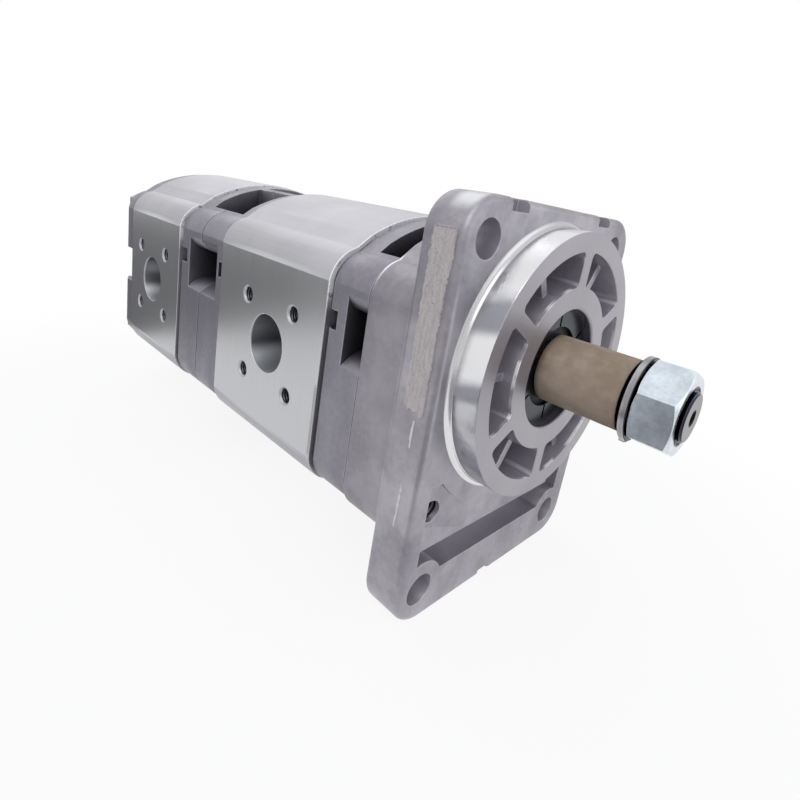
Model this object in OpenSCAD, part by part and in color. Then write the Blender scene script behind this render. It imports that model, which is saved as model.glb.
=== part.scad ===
/* [Mounting flange] */
// Thickness of the flange plate, mm
flange_t = 13.5; // [12:0.5:16]
// Depth of the block behind the plate, mm
block_depth = 16; // [15:0.5:20]
// Outside corner radius of the plate, mm
flange_corner_r = 11; // [8:0.5:12]
// Radius of the centring pilot, mm
pilot_r = 40; // [38:0.5:40]
// Height of the centring pilot, mm
pilot_h = 9; // [7:0.5:11]
// Spacing of the flange bolts across the plate, mm
bolt_span_x = 72; // [70:0.5:74]
// Spacing of the flange bolts up the plate, mm
bolt_span_z = 100; // [98:0.5:104]
// Distance of the flange bolts from the trimmed left side of the plate, mm
bolt_edge_left = 9; // [8:0.5:10]
// Distance of the flange bolts from the right side of the plate, mm
bolt_edge_right = 11.5; // [9:0.5:12]
// Distance of the upper flange bolts from the top of the plate, mm
bolt_edge_top = 10.5; // [9:0.5:11.5]
// Distance of the lower flange bolts from the foot of the plate, mm
bolt_edge_low = 11; // [9:0.5:12]
// Height of the upper flange bolts above the drive shaft, mm
bolt_top_z = 34.5; // [34:0.5:36]
// Radius of the flange bolt holes, mm
flange_hole_r = 5; // [4.5:0.1:5.5]
// Depth of the cast recess below the pilot, mm
recess_depth = 8; // [4:0.5:9]

/* [Ribs inside the pilot] */
// Number of full-height ribs between the hub and the pilot wall
rib_count = 6; // [4:1:8]
// Thickness of the full-height ribs, mm
rib_w = 4.4; // [3.5:0.1:6]
// Thickness of the low ribs between them, mm
stub_w = 2.4; // [1.6:0.1:3]
// Drop of the low ribs below the pilot face, mm
stub_drop = 4; // [2:0.5:8]
// Wall of the pilot outside the ribs, mm
pilot_wall = 5.4; // [4:0.2:7]
// Outside radius of the hub at the pilot face, mm
hub_r = 24.7; // [23.5:0.1:25.5]
// Radius of the hub bore that holds the shaft seal, mm
seal_bore_r = 18; // [17:0.5:19]
// Depth of the pockets below the mounting face, mm
pocket_floor = 6; // [3:0.5:7]

/* [Pump body] */
// Width of the body over its port faces, mm
body_w = 89; // [87:0.5:90]
// Height of the body, mm
body_h = 103; // [101:0.5:104]
// Radius of the arched top and bottom, mm
arch_r = 60; // [58:1:64]
// Radius of the four long corners, mm
corner_r = 12; // [11.4:0.1:12.4]
// Height of the milled port faces, mm
port_face_h = 56; // [52:1:58]
// Thickness of the front cover, mm
front_cover_t = 17; // [16:0.5:20]
// Thickness of the front half of the centre cover, mm
centre_front_t = 19; // [18:0.5:22]
// Thickness of the rear half of the centre cover, mm
centre_rear_t = 19.5; // [19:0.5:22]
// Thickness of the end cover, mm
end_cover_t = 14; // [12:0.5:18]
// Thickness of the closed plate of each cover, mm
cover_plate_t = 8.5; // [7:0.5:9]
// Thickness of the plate that faces the front section, mm
centre_plate_t = 5.5; // [5:0.5:8]

/* [Gears and bearings] */
// Distance between the drive and driven gear axes, mm
gear_centres = 30; // [29.6:0.1:30.4]
// Number of teeth on each gear
gear_teeth = 12; // [11:1:14]
// Pressure angle of the teeth, degrees
pressure_angle = 28; // [26:0.5:29]
// Play between meshing teeth, measured on the pitch circle, mm
tooth_play = 0.15; // [0.1:0.01:0.25]
// Width of the front pair of gears, mm
front_gear_w = 40; // [34:1:44]
// Width of the rear pair of gears, mm
rear_gear_w = 29; // [24:1:34]
// Thickness of each bearing block, mm
block_t = 13; // [11:0.5:15]
// Radius of the gear journals, mm
journal_r = 9; // [8.5:0.1:9.3]
// Wall of the plain bushes, mm
bush_wall = 1.6; // [1.2:0.1:2]
// Running clearance at the journals and gear tips, mm
run_gap = 0.04; // [0.02:0.01:0.08]

/* [Ports] */
// Radius of the suction ports, mm
suction_r = 10.3; // [9.5:0.1:10.5]
// Bolt circle diameter of the suction ports, mm
suction_pcd = 40; // [38:0.5:42]
// Radius of the pressure ports, mm
pressure_r = 7.5; // [6.5:0.1:8]
// Bolt circle diameter of the pressure ports, mm
pressure_pcd = 35; // [33:0.5:38]
// Core radius of the tapped port holes, mm
port_tap_r = 2.5; // [2.3:0.1:2.8]
// Depth of the tapped port holes, mm
port_tap_depth = 14; // [10:1:16]
// Distance of the front ports behind the front of their casing, mm
front_port_y = 31; // [30:0.5:34]
// Distance of the rear ports behind the front of their casing, mm
rear_port_y = 29; // [26:0.5:30]

/* [Drive shaft end] */
// Radius of the shaft where it leaves the seal, mm
shaft_r = 10; // [9.8:0.1:10]
// Radius of the taper at its large end, mm
taper_r = 9.2; // [9:0.1:9.2]
// Length of the 1 in 5 taper, mm
taper_l = 20; // [18:0.5:20]
// Radius of the threaded end, mm
thread_r = 7; // [6.8:0.1:7]
// Length of the threaded end, mm
thread_l = 17.6; // [17:0.1:19]
// Width of the shaft key, mm
key_w = 4; // [3:0.5:5]
// Width across flats of the shaft nut, mm
nut_af = 21; // [19:1:24]
// Thickness of the shaft nut, mm
nut_t = 10.6; // [9:0.1:11]
// Thickness of the spring washer, mm
washer_t = 2.6; // [2:0.1:3]
// Outside radius of the spring washer, mm
washer_r = 11.8; // [11:0.1:12.5]
// Wall of the cardboard sleeve, mm
sleeve_wall = 0.85; // [0.5:0.05:1]

/* [Through bolts] */
// Radius of the long bolts that hold the pump together, mm
tie_r = 4; // [3.5:0.25:4.5]
// Distance of the bolts from the sides of the body, mm
tie_edge = 9; // [8.7:0.1:9.5]
// Height of the upper bolts above the end of the port faces, mm
tie_rise = 2.5; // [2:0.1:3]
// Radius of the cast bosses round the bolts, mm
tie_boss_r = 9; // [8.4:0.1:9.2]

/* [Hidden] */

$fn = 72;
// How far a cut runs past the face it opens
over = 1;
mid_z = -gear_centres / 2;
half_w = body_w / 2;
half_h = body_h / 2;

// Where each face of the stack lies along the shaft
plate_back = flange_t;
flange_back = plate_back + block_depth;
front_cover_back = flange_back + front_cover_t;
front_casing_back = front_cover_back + front_gear_w + 2 * block_t;
centre_seam = front_casing_back + centre_front_t;
centre_back = centre_seam + centre_rear_t;
rear_casing_back = centre_back + rear_gear_w + 2 * block_t;
pump_back = rear_casing_back + end_cover_t;

// Flange plate
plate_top = bolt_top_z + bolt_edge_top;
bolt_low_z = bolt_top_z - bolt_span_z;
plate_bottom = bolt_low_z - bolt_edge_low;
bolt_x = bolt_span_x / 2;
plate_left = -bolt_x - bolt_edge_left;
plate_right = bolt_x + bolt_edge_right;
front_edge_r = 1.8;
rear_edge_r = 1.6;
pocket_r = pilot_r - pilot_wall;
hub_draft = 1.2;
rib_fillet_r = 1.6;
seal_mouth_chamfer = 0.6;
recess_top_rise = 14;
recess_low_rise = 4;
recess_step_rise = 20.5;
recess_top = bolt_low_z + recess_top_rise;
recess_low = bolt_low_z + recess_low_rise;
recess_half_w = bolt_x + 3;
recess_step_z = bolt_low_z + recess_step_rise;
recess_step_x = recess_half_w - 9;
hole_boss_r = 9;
notch_x = bolt_x - 11.3;
notch_w = 8;
notch_h = 3.2;
notch_depth = 4;
foot_notch_w = 7;
foot_notch_h = 2.6;
foot_notch_x = -1.5;
side_hole_x = plate_left + 9.6;
side_hole_rise = 24.5;
side_hole_z = bolt_low_z + side_hole_rise;
side_hole_r = 3.4;
side_hole_depth = 11;
side_pocket_x = plate_left + 5.8;
side_pocket_w = 20;
side_pocket_low = recess_top + 0.5;
side_pocket_top = side_hole_z + 9.5;
side_pocket_depth = 2.2;
side_ramp_z = side_hole_z - 4;
pilot_land_r = pilot_r + 6.8;
gate_pad_t = 0.3;
gate_pad_low = -10;
gate_pad_high = bolt_top_z + 1.5;
gate_pad_y0 = 4.4;
gate_pad_y1 = 9;

// Body outline, measured from the middle between the gear axes
corner_x = half_w - corner_r + 0.1;
corner_z = port_face_h / 2 - 0.5;
blend_in_x = corner_x - 2.4;
blend_out_x = corner_x + 3.1;
cover_inset = 0.8;
joint_step = 1.6;
joint_step_l = 1.5;
flange_step_l = 1;
seam_step_l = 0.6;
side_notch_z = 3;
side_notch_h = 5.8;
front_notch_l = 4.5;
centre_notch_front_l = 4.2;
centre_notch_rear_l = 6.4;
side_notch_depth = 4;

port_chamfer = 0.7;
port_inner_x = 8;
port_neck = 1;

// Windows of the covers
cover_hub_r = 20.5;
coupling_bore_r = 15;
seal_shelf = 2;
sill_r = 16;
sill_z = -21;
sill_x = half_w - 12.3;
sill_edge_z = -10;
web_w = 5;
top_rib_x = 12;
top_rib_w = 3;

// End cover
end_rim_t = 2.8;
end_back_inset = 2.8;
end_seat_t = 9;
end_seat_y = rear_casing_back + end_seat_t;
end_spot_r = 9.5;
waist_z = mid_z + 1.2;
waist_half_h = 8.2;
waist_depth = 5;

// Gears
pitch_r = gear_centres / 2;
gear_module = gear_centres / gear_teeth;
tip_r = pitch_r + gear_module;
dedendum = 1.16;
root_r = pitch_r - dedendum * gear_module;
base_r = pitch_r * cos(pressure_angle);
flank_steps = 6;
root_turn = 1.5;
chamber_r = tip_r + run_gap;
end_play = 0.02;
bush_r = journal_r + bush_wall;
journal_pass_r = journal_r + 1;
journal_end_gap = 0.5;
seal_groove = 1.5;
seal_inset = 1.4;
seal_w = 2;
lip_seal_w = 6;
cord_r = 1;
cord_reach = 22.5;
dowel_r = 3;
dowel_l = 12;
dowel_end_gap = 0.5;
dowel_x = half_w - 11.5;

// Where a port narrows towards the gear chamber
port_shelf_x = tip_r + 1;

// Outboard bearing
bearing_front = 6;
bearing_w = 12;
bearing_r = 21;
bearing_id_r = shaft_r;
ball_r = 3.6;
ball_count = 9;
ball_circle_r = 15.5;
race_gap = 0.03;
race_wall_in = 13.4;
race_wall_out = 17.7;
cage_wall = 1.6;
cage_edge = 1.2;
circlip_t = 1.5;
circlip_depth = 1.2;
circlip_gap = 0.1;
circlip_mouth = 8;
circlip_clear = 0.6;
collar_r = 12.4;
collar_l = 2.6;

// Couplings
tang_w = 8;
tang_l = 4.9;
tang_gap = 0.05;
disc_t = 5;
disc_r = 12.5;
front_disc_y = 28;
centre_disc_y = centre_seam - disc_t / 2;

// Shaft end
seal_bearing_gap = 0.5;
seal_back = bearing_front - seal_bearing_gap;
shoulder_y = -6;
sleeve_gap = 0.05;
sleeve_in_r = taper_r + sleeve_gap;
sleeve_r = sleeve_in_r + sleeve_wall;
taper_end_r = taper_r - taper_l / 10;
taper_end_y = shoulder_y - taper_l;
shaft_end_y = taper_end_y - thread_l;
washer_inset = 4.8;
washer_back = taper_end_y - washer_inset;
washer_front = washer_back - washer_t;
washer_bore_gap = 0.2;
washer_bore_r = thread_r + washer_bore_gap;
washer_split_angle = 248;
washer_split = 1.6;
nut_front = washer_front - nut_t;
nut_turn = 8;
nut_chamfer = 0.9;
nut_face_inset = 0.3;
nut_mouth = 1;
centre_hole_r = 1.6;
centre_hole_depth = 4;
key_disc_r = 5.5;
key_inset = 9;
key_y = shoulder_y - key_inset;
key_seat_r = 5.2;
key_top_gap = 0.1;
retainer_front = -6;
retainer_t = 1.4;
retainer_in_r = 12.4;
retainer_slots = 6;
retainer_turn = 35;
retainer_slot_w = 0.9;
retainer_rim = 1;

// Through bolts
tie_x = half_w - tie_edge;
tie_z = mid_z + port_face_h / 2 + tie_rise;
tie_hole_gap = 0.5;
tie_hole_r = tie_r + tie_hole_gap;
tie_seat_y = 15;
tie_tip_gap = 1;
tie_head_h = 5;
tie_head_af = 12;
thread_lead = 0.8;

ALU = [0.74, 0.74, 0.78];
STEEL = [0.62, 0.63, 0.66];
DARK = [0.15, 0.15, 0.17];

// Extrudes a profile drawn in x and z from y0 to y1 along the shaft
module along_y(y0, y1) {
    translate([0, y1, 0]) rotate([90, 0, 0]) linear_extrude(height = y1 - y0) children();
}

// A round bar on the drive axis
module rod(y0, y1, r, z = 0) {
    translate([0, y0, z]) rotate([-90, 0, 0]) cylinder(h = y1 - y0, r = r);
}

// A cone on the drive axis, r0 at y0 and r1 at y1
module cone_y(y0, y1, r0, r1) {
    translate([0, y0, 0]) rotate([-90, 0, 0]) cylinder(h = y1 - y0, r1 = r0, r2 = r1);
}

// Turns a profile of radius and y about the drive axis
module revolve_y() {
    rotate([-90, 0, 0]) rotate_extrude() children();
}

// Puts a child at the four through bolts
module at_ties() {
    for (sx = [-1, 1], z = [tie_z, -gear_centres - tie_z]) translate([sx * tie_x, 0, z]) children();
}

module at_ties_2d() {
    for (sx = [-1, 1], z = [tie_z, -gear_centres - tie_z]) translate([sx * tie_x, z]) children();
}

function arch_z(x) = half_h - arch_r + sqrt(pow(arch_r, 2) - x * x);
function corner_top(x) = corner_z + sqrt(pow(corner_r, 2) - pow(x - corner_x, 2));

// Upper half of the body outline, about the middle between the gears
module outline_half(inset) {
    intersection() {
        translate([0, half_h - arch_r]) circle(arch_r - inset);
        translate([-blend_in_x, -over]) square([2 * blend_in_x, half_h + over]);
    }
    for (s = [0, 1]) mirror([s, 0]) {
        translate([corner_x, corner_z]) circle(corner_r - inset);
        polygon([
            [blend_in_x - over, corner_z - over], [blend_out_x, corner_z - over],
            [blend_out_x, corner_top(blend_out_x) - inset], [blend_in_x, arch_z(blend_in_x) - inset],
            [blend_in_x - over, arch_z(blend_in_x) - inset]
        ]);
    }
    translate([-half_w, -over]) square([2 * half_w, corner_z + over]);
}

// Outline of the pump body in x and z
module body_outline(inset = 0) {
    translate([0, mid_z]) intersection() {
        union() {
            outline_half(inset);
            mirror([0, 1]) outline_half(inset);
        }
        square([body_w - 2 * inset, body_h], center = true);
    }
}

// Two overlapping circles, one round each gear axis
module gear_eight(r) {
    circle(r);
    translate([0, -gear_centres]) circle(r);
}

// Round-ended slot round both gear axes
module long_oval(r) {
    gear_eight(r);
    translate([-r, -gear_centres]) square([2 * r, gear_centres]);
}

// Cross-section of the plate from lo to hi, with its two long edges rounded
module plate_section(lo, hi) {
    translate([lo, front_edge_r]) square([hi - lo, flange_t - front_edge_r - rear_edge_r]);
    translate([lo + front_edge_r, 0]) square([hi - lo - 2 * front_edge_r, flange_t / 2]);
    translate([lo + rear_edge_r, flange_t / 2]) square([hi - lo - 2 * rear_edge_r, flange_t / 2]);
    for (x = [lo + front_edge_r, hi - front_edge_r]) translate([x, front_edge_r]) circle(front_edge_r);
    for (x = [lo + rear_edge_r, hi - rear_edge_r]) {
        translate([x, flange_t - rear_edge_r]) circle(rear_edge_r);
    }
}

// Flange plate with rounded corners and edges
module flange_plate() {
    left_c = plate_left + flange_corner_r;
    right_c = plate_right - flange_corner_r;
    top_c = plate_top - flange_corner_r;
    low_c = plate_bottom + flange_corner_r;
    translate([0, 0, low_c]) linear_extrude(height = top_c - low_c) {
        plate_section(plate_left, plate_right);
    }
    translate([left_c, 0, 0]) rotate([90, 0, 90]) linear_extrude(height = right_c - left_c) {
        mirror([1, -1]) plate_section(plate_bottom, plate_top);
    }
    for (x = [left_c, right_c], z = [low_c, top_c]) translate([x, 0, z]) revolve_y() intersection() {
        plate_section(-flange_corner_r, flange_corner_r);
        square([flange_corner_r, flange_t]);
    }
}

// Fillets where a radial rib meets the hub and the pilot wall
module rib_fillets(width) {
    off = width / 2 + rib_fillet_r;
    out_x = sqrt(pow(pocket_r - rib_fillet_r, 2) - off * off);
    in_x = sqrt(pow(hub_r + rib_fillet_r, 2) - off * off);
    for (s = [0, 1]) mirror([0, s]) {
        difference() {
            translate([out_x, 0]) square([pocket_r - out_x + over, off]);
            translate([out_x, off]) circle(rib_fillet_r);
        }
        difference() {
            translate([hub_r - over, 0]) square([in_x - hub_r + over, off]);
            translate([in_x, off]) circle(rib_fillet_r);
        }
    }
}

// Open area between the hub and the pilot wall
module pocket_profile(with_stubs) {
    step = 360 / rib_count;
    difference() {
        circle(pocket_r);
        circle(hub_r);
        for (i = [0 : rib_count - 1]) rotate(step * (i + 0.5)) {
            translate([hub_r - over, -rib_w / 2]) square([pocket_r - hub_r + 2 * over, rib_w]);
            rib_fillets(rib_w);
        }
        if (with_stubs) for (i = [0 : rib_count - 1]) rotate(step * i) {
            translate([hub_r - over, -stub_w / 2]) square([pocket_r - hub_r + 2 * over, stub_w]);
        }
    }
}

// The ring of deep pockets inside the pilot
module pilot_pockets() {
    stub_y = stub_drop - pilot_h;
    difference() {
        union() {
            along_y(-pilot_h - over, stub_y) pocket_profile(false);
            along_y(stub_y, pocket_floor) pocket_profile(true);
        }
        cone_y(-pilot_h, pocket_floor + over, hub_r, hub_r + hub_draft);
    }
}

// Cast recess below the pilot, curving round the lower bolt bosses
module recess_profile() {
    difference() {
        union() {
            translate([-recess_half_w, recess_low]) square([2 * recess_half_w, recess_top - recess_low]);
            translate([recess_step_x, recess_low]) {
                square([recess_half_w - recess_step_x, recess_step_z - recess_low]);
            }
        }
        for (s = [-1, 1]) translate([s * bolt_x, bolt_low_z]) circle(hole_boss_r);
    }
}

module flange_holes() {
    for (s = [-1, 1], z = [bolt_top_z, bolt_low_z]) {
        translate([s * bolt_x, -over, z]) rotate([-90, 0, 0]) {
            cylinder(h = flange_t + 2 * over, r = flange_hole_r);
        }
    }
}

// Shallow cast pocket below the pilot foot, its floor rising to the face on the right and below
module side_pocket() {
    slope = atan(side_pocket_depth / side_pocket_w);
    ramp = atan(side_pocket_depth / (side_ramp_z - side_pocket_low));
    reach = 2 * side_pocket_w;
    intersection() {
        along_y(-over, side_pocket_depth) difference() {
            translate([side_pocket_x, side_pocket_low - over]) {
                square([side_pocket_w, side_pocket_top - side_pocket_low + over]);
            }
            circle(pilot_land_r);
        }
        translate([side_pocket_x, side_pocket_depth, side_pocket_top]) rotate([0, 0, -slope]) {
            translate([-over, -reach, -reach]) cube([reach + over, reach, reach + over]);
        }
        translate([side_pocket_x, side_pocket_depth, side_ramp_z]) rotate([-ramp, 0, 0]) {
            translate([-over, -reach, -reach]) cube([reach + over, reach, 2 * reach]);
        }
    }
}

// Small cast features on the face of the plate
module flange_face_details() {
    for (s = [-1, 1]) {
        translate([s * notch_x - notch_w / 2, -over, plate_top - notch_h]) {
            cube([notch_w, notch_depth + over, notch_h + over]);
        }
    }
    translate([foot_notch_x - foot_notch_w / 2, -over, plate_bottom - over]) {
        cube([foot_notch_w, flange_t + 2 * over, foot_notch_h + over]);
    }
    side_pocket();
    translate([side_hole_x, -over, side_hole_z]) rotate([-90, 0, 0]) {
        cylinder(h = side_hole_depth + over, r = side_hole_r);
    }
}

// Ribbed flange casting: plate, pilot, hub and the block behind the plate
module mounting_flange() color(ALU) {
    difference() {
        union() {
            flange_plate();
            along_y(flange_t / 2, flange_back - flange_step_l) body_outline();
            along_y(flange_t / 2, flange_back) body_outline(joint_step);
            rod(-pilot_h, flange_t / 2, pilot_r);
            translate([plate_left - gate_pad_t, gate_pad_y0, gate_pad_low]) {
                cube([gate_pad_t + over, gate_pad_y1 - gate_pad_y0, gate_pad_high - gate_pad_low]);
            }
        }
        pilot_pockets();
        rod(-pilot_h - over, bearing_front + over, seal_bore_r);
        cone_y(-pilot_h, seal_mouth_chamfer - pilot_h, seal_bore_r + seal_mouth_chamfer, seal_bore_r);
        rod(bearing_front, flange_back + over, bearing_r);
        rod(bearing_front + bearing_w, bearing_front + bearing_w + circlip_t, bearing_r + circlip_depth);
        along_y(-over, recess_depth) recess_profile();
        flange_holes();
        flange_face_details();
        at_ties() rotate([-90, 0, 0]) translate([0, 0, tie_seat_y]) {
            cylinder(h = flange_back - tie_seat_y + over, r = tie_r);
        }
    }
}

// What stands between the windows of a cover: hub, bolt bosses, lower body and webs
module cover_skeleton(inset = cover_inset) {
    intersection() {
        body_outline(inset);
        union() {
            circle(cover_hub_r);
            at_ties_2d() circle(tie_boss_r);
            translate([-half_w, mid_z - half_h]) square([body_w, sill_edge_z - mid_z + half_h]);
            for (s = [-1, 1]) {
                translate([s * sill_x, sill_z]) circle(sill_r);
                translate([s * top_rib_x - top_rib_w / 2, 0]) square([top_rib_w, half_h]);
            }
            translate([-sill_x, sill_z]) square([2 * sill_x, sill_r]);
            for (s = [0, 1]) mirror([s, 0]) polygon([
                [0, -web_w], [tie_x, tie_z - web_w / 2], [tie_x, tie_z + web_w / 2], [0, web_w]
            ]);
        }
    }
}

// Pry notches on both sides of a cover, from y0 to y1
module side_notches(y0, y1) {
    for (s = [-1, 1]) {
        translate([s * half_w - side_notch_depth, y0, side_notch_z - side_notch_h / 2]) {
            cube([2 * side_notch_depth, y1 - y0, side_notch_h]);
        }
    }
}

module tie_holes(y0, y1) {
    at_ties() rotate([-90, 0, 0]) translate([0, 0, y0 - over]) {
        cylinder(h = y1 - y0 + 2 * over, r = tie_hole_r);
    }
}

// Dowel holes centred on the joint at y
module dowel_holes(y) {
    for (s = [-1, 1]) translate([s * dowel_x, y - dowel_l / 2, mid_z]) rotate([-90, 0, 0]) {
        cylinder(h = dowel_l, r = dowel_r);
    }
}

// Groove of a casing seal, cut from face y to y + d
module seal_groove_cut(y0, y1) {
    along_y(y0, y1) difference() {
        long_oval(cord_reach);
        long_oval(cord_reach - 2 * cord_r);
    }
}

// Front cover: windows towards the flange, closed plate towards the gears
module front_cover() color(ALU) {
    plate_front = front_cover_back - cover_plate_t;
    difference() {
        union() {
            along_y(flange_back, plate_front) cover_skeleton();
            along_y(plate_front, front_cover_back - joint_step_l) body_outline(cover_inset);
            along_y(front_cover_back - joint_step_l, front_cover_back) body_outline(joint_step);
        }
        rod(flange_back - over, plate_front, coupling_bore_r);
        rod(plate_front - over, front_cover_back - seal_shelf, coupling_bore_r);
        rod(plate_front, front_cover_back + over, journal_pass_r);
        tie_holes(flange_back, front_cover_back);
        dowel_holes(front_cover_back);
        seal_groove_cut(front_cover_back - 2 * cord_r, front_cover_back + over);
        side_notches(front_cover_back - front_notch_l, front_cover_back + over);
    }
}

// Front half of the centre cover
module centre_cover_front() color(ALU) {
    plate_end = front_casing_back + centre_plate_t;
    difference() {
        union() {
            along_y(front_casing_back, plate_end) body_outline(cover_inset);
            along_y(plate_end, centre_seam) cover_skeleton();
        }
        rod(front_casing_back - over, plate_end, journal_pass_r);
        rod(front_casing_back + seal_shelf, centre_seam + over, coupling_bore_r);
        tie_holes(front_casing_back, centre_seam);
        dowel_holes(front_casing_back);
        dowel_holes(centre_seam);
        seal_groove_cut(front_casing_back - over, front_casing_back + 2 * cord_r);
        side_notches(front_casing_back - over, front_casing_back + centre_notch_front_l);
    }
}

// Rear half of the centre cover
module centre_cover_rear() color(ALU) {
    plate_front = centre_back - cover_plate_t;
    difference() {
        union() {
            along_y(centre_seam, centre_seam + seam_step_l) cover_skeleton(joint_step);
            along_y(centre_seam + seam_step_l, plate_front) cover_skeleton();
            along_y(plate_front, centre_back - joint_step_l) body_outline(cover_inset);
            along_y(centre_back - joint_step_l, centre_back) body_outline(joint_step);
        }
        rod(centre_seam - over, centre_back - seal_shelf, coupling_bore_r);
        rod(plate_front, centre_back + over, journal_pass_r);
        tie_holes(centre_seam, centre_back);
        dowel_holes(centre_seam);
        dowel_holes(centre_back);
        seal_groove_cut(centre_back - 2 * cord_r, centre_back + over);
        side_notches(centre_back - centre_notch_rear_l, centre_back + over);
    }
}

// One port: the passage into the gear chamber and its four tapped holes
module port(side, y, r, pcd) {
    translate([side * half_w, y, mid_z]) rotate([0, -90 * side, 0]) {
        translate([0, 0, -over]) cylinder(h = half_w - port_shelf_x + over, r = r);
        cylinder(h = half_w - port_inner_x, r = r - port_neck);
        for (a = [45, 135, 225, 315]) rotate(a) translate([pcd / 2, 0, 0]) {
            translate([0, 0, -over]) cylinder(h = port_tap_depth + over, r = port_tap_r);
            cylinder(h = port_chamfer, r1 = port_tap_r + port_chamfer, r2 = port_tap_r);
        }
    }
}

// Extruded casing of one gear section
module casing(y0, y1, port_y) {
    difference() {
        along_y(y0, y1) body_outline();
        along_y(y0 - over, y1 + over) gear_eight(chamber_r);
        tie_holes(y0, y1);
        dowel_holes(y0);
        dowel_holes(y1);
        port(-1, y0 + port_y, suction_r, suction_pcd);
        port(1, y0 + port_y, pressure_r, pressure_pcd);
    }
}

module front_casing() color(ALU) casing(front_cover_back, front_casing_back, front_port_y);

module rear_casing() color(ALU) casing(centre_back, rear_casing_back, rear_port_y);

// End cover with a waist between the gear axes
module end_outline(inset) {
    difference() {
        body_outline(inset);
        for (s = [-1, 1]) translate([s * half_w - waist_depth, waist_z - waist_half_h]) {
            square([2 * waist_depth, 2 * waist_half_h]);
        }
    }
}

module end_cover() color(ALU) {
    difference() {
        union() {
            along_y(rear_casing_back, rear_casing_back + end_rim_t) body_outline(cover_inset);
            along_y(rear_casing_back, end_seat_y) end_outline(cover_inset);
            along_y(end_seat_y, pump_back) difference() {
                end_outline(end_back_inset);
                at_ties_2d() circle(end_spot_r);
            }
        }
        tie_holes(rear_casing_back, end_seat_y);
        dowel_holes(rear_casing_back);
        seal_groove_cut(rear_casing_back - over, rear_casing_back + 2 * cord_r);
    }
}

module shaft_seal() color(DARK) {
    front = retainer_front + retainer_t;
    difference() {
        rod(front, seal_back, seal_bore_r);
        rod(front - over, seal_back + over, shaft_r + run_gap);
    }
}

// Slotted spring ring that holds the shaft seal in the hub
module seal_retainer() color([0.25, 0.25, 0.27]) {
    along_y(retainer_front, retainer_front + retainer_t) difference() {
        circle(seal_bore_r);
        circle(retainer_in_r);
        for (i = [0 : retainer_slots - 1]) rotate(i * 360 / retainer_slots + retainer_turn) {
            translate([0, -retainer_slot_w / 2]) square([seal_bore_r - retainer_rim, retainer_slot_w]);
        }
    }
}

// Ring of rectangular section with the ball groove taken out
module race(r_in, r_out) {
    revolve_y() difference() {
        translate([r_in, bearing_front]) square([r_out - r_in, bearing_w]);
        translate([ball_circle_r, bearing_front + bearing_w / 2]) circle(ball_r + race_gap);
    }
}

module bearing_outer_race() color(STEEL) race(race_wall_out, bearing_r);

module bearing_inner_race() color(STEEL) race(bearing_id_r, race_wall_in);

module at_balls() {
    for (i = [0 : ball_count - 1]) rotate([0, i * 360 / ball_count, 0]) {
        translate([ball_circle_r, bearing_front + bearing_w / 2, 0]) children();
    }
}

module bearing_balls() color(STEEL) at_balls() sphere(ball_r);

module bearing_cage() color([0.7, 0.6, 0.35]) {
    difference() {
        revolve_y() translate([ball_circle_r - cage_wall / 2, bearing_front + cage_edge]) {
            square([cage_wall, bearing_w - 2 * cage_edge]);
        }
        at_balls() rotate([0, 90, 0]) translate([0, 0, -ball_r]) {
            cylinder(h = 2 * ball_r, r = ball_r + race_gap);
        }
    }
}

module bearing_circlip() color(DARK) {
    y0 = bearing_front + bearing_w;
    difference() {
        rod(y0, y0 + circlip_t, bearing_r + circlip_depth - circlip_gap);
        rod(y0 - over, y0 + circlip_t + over, race_wall_out + circlip_clear);
        translate([-circlip_mouth / 2, y0 - over, 0]) {
            cube([circlip_mouth, circlip_t + 2 * over, 2 * bearing_r]);
        }
    }
}

// Input shaft: thread, taper, seal land, bearing seat and slotted rear end
module drive_shaft() color(STEEL) {
    bearing_back = bearing_front + bearing_w;
    difference() {
        union() {
            cone_y(shaft_end_y, shaft_end_y + thread_lead, thread_r - thread_lead, thread_r);
            rod(shaft_end_y + thread_lead, taper_end_y, thread_r);
            cone_y(taper_end_y, shoulder_y, taper_end_r, taper_r);
            rod(shoulder_y, bearing_back, shaft_r);
            rod(bearing_back, bearing_back + collar_l, collar_r);
            rod(bearing_back, front_disc_y - tang_gap, shaft_r);
        }
        translate([-tang_w / 2 - tang_gap, front_disc_y - tang_l - 2 * tang_gap, -collar_r]) {
            cube([tang_w + 2 * tang_gap, tang_l + over, 2 * collar_r]);
        }
        rod(shaft_end_y - over, shaft_end_y + centre_hole_depth, centre_hole_r);
        translate([-key_w / 2, key_y, key_seat_r]) rotate([0, 90, 0]) cylinder(h = key_w, r = key_disc_r);
    }
}

// Half-round key in the taper
module shaft_key() color(STEEL) {
    intersection() {
        translate([-key_w / 2, key_y, key_seat_r]) rotate([0, 90, 0]) {
            cylinder(h = key_w, r = key_disc_r);
        }
        rod(key_y - key_disc_r, key_y + key_disc_r, taper_r - key_top_gap);
    }
}

module cardboard_sleeve() color([0.66, 0.58, 0.49]) {
    difference() {
        rod(washer_back, shoulder_y, sleeve_r);
        rod(washer_back - over, shoulder_y + over, sleeve_in_r);
    }
}

// Spring washer, split at the lower left
module spring_washer() color([0.55, 0.55, 0.57]) {
    difference() {
        rod(washer_front, washer_back, washer_r);
        rod(washer_front - over, washer_back + over, washer_bore_r);
        rotate([0, -washer_split_angle, 0]) translate([0, washer_front - over, -washer_split / 2]) {
            cube([washer_r + over, washer_t + 2 * over, washer_split]);
        }
    }
}

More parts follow.
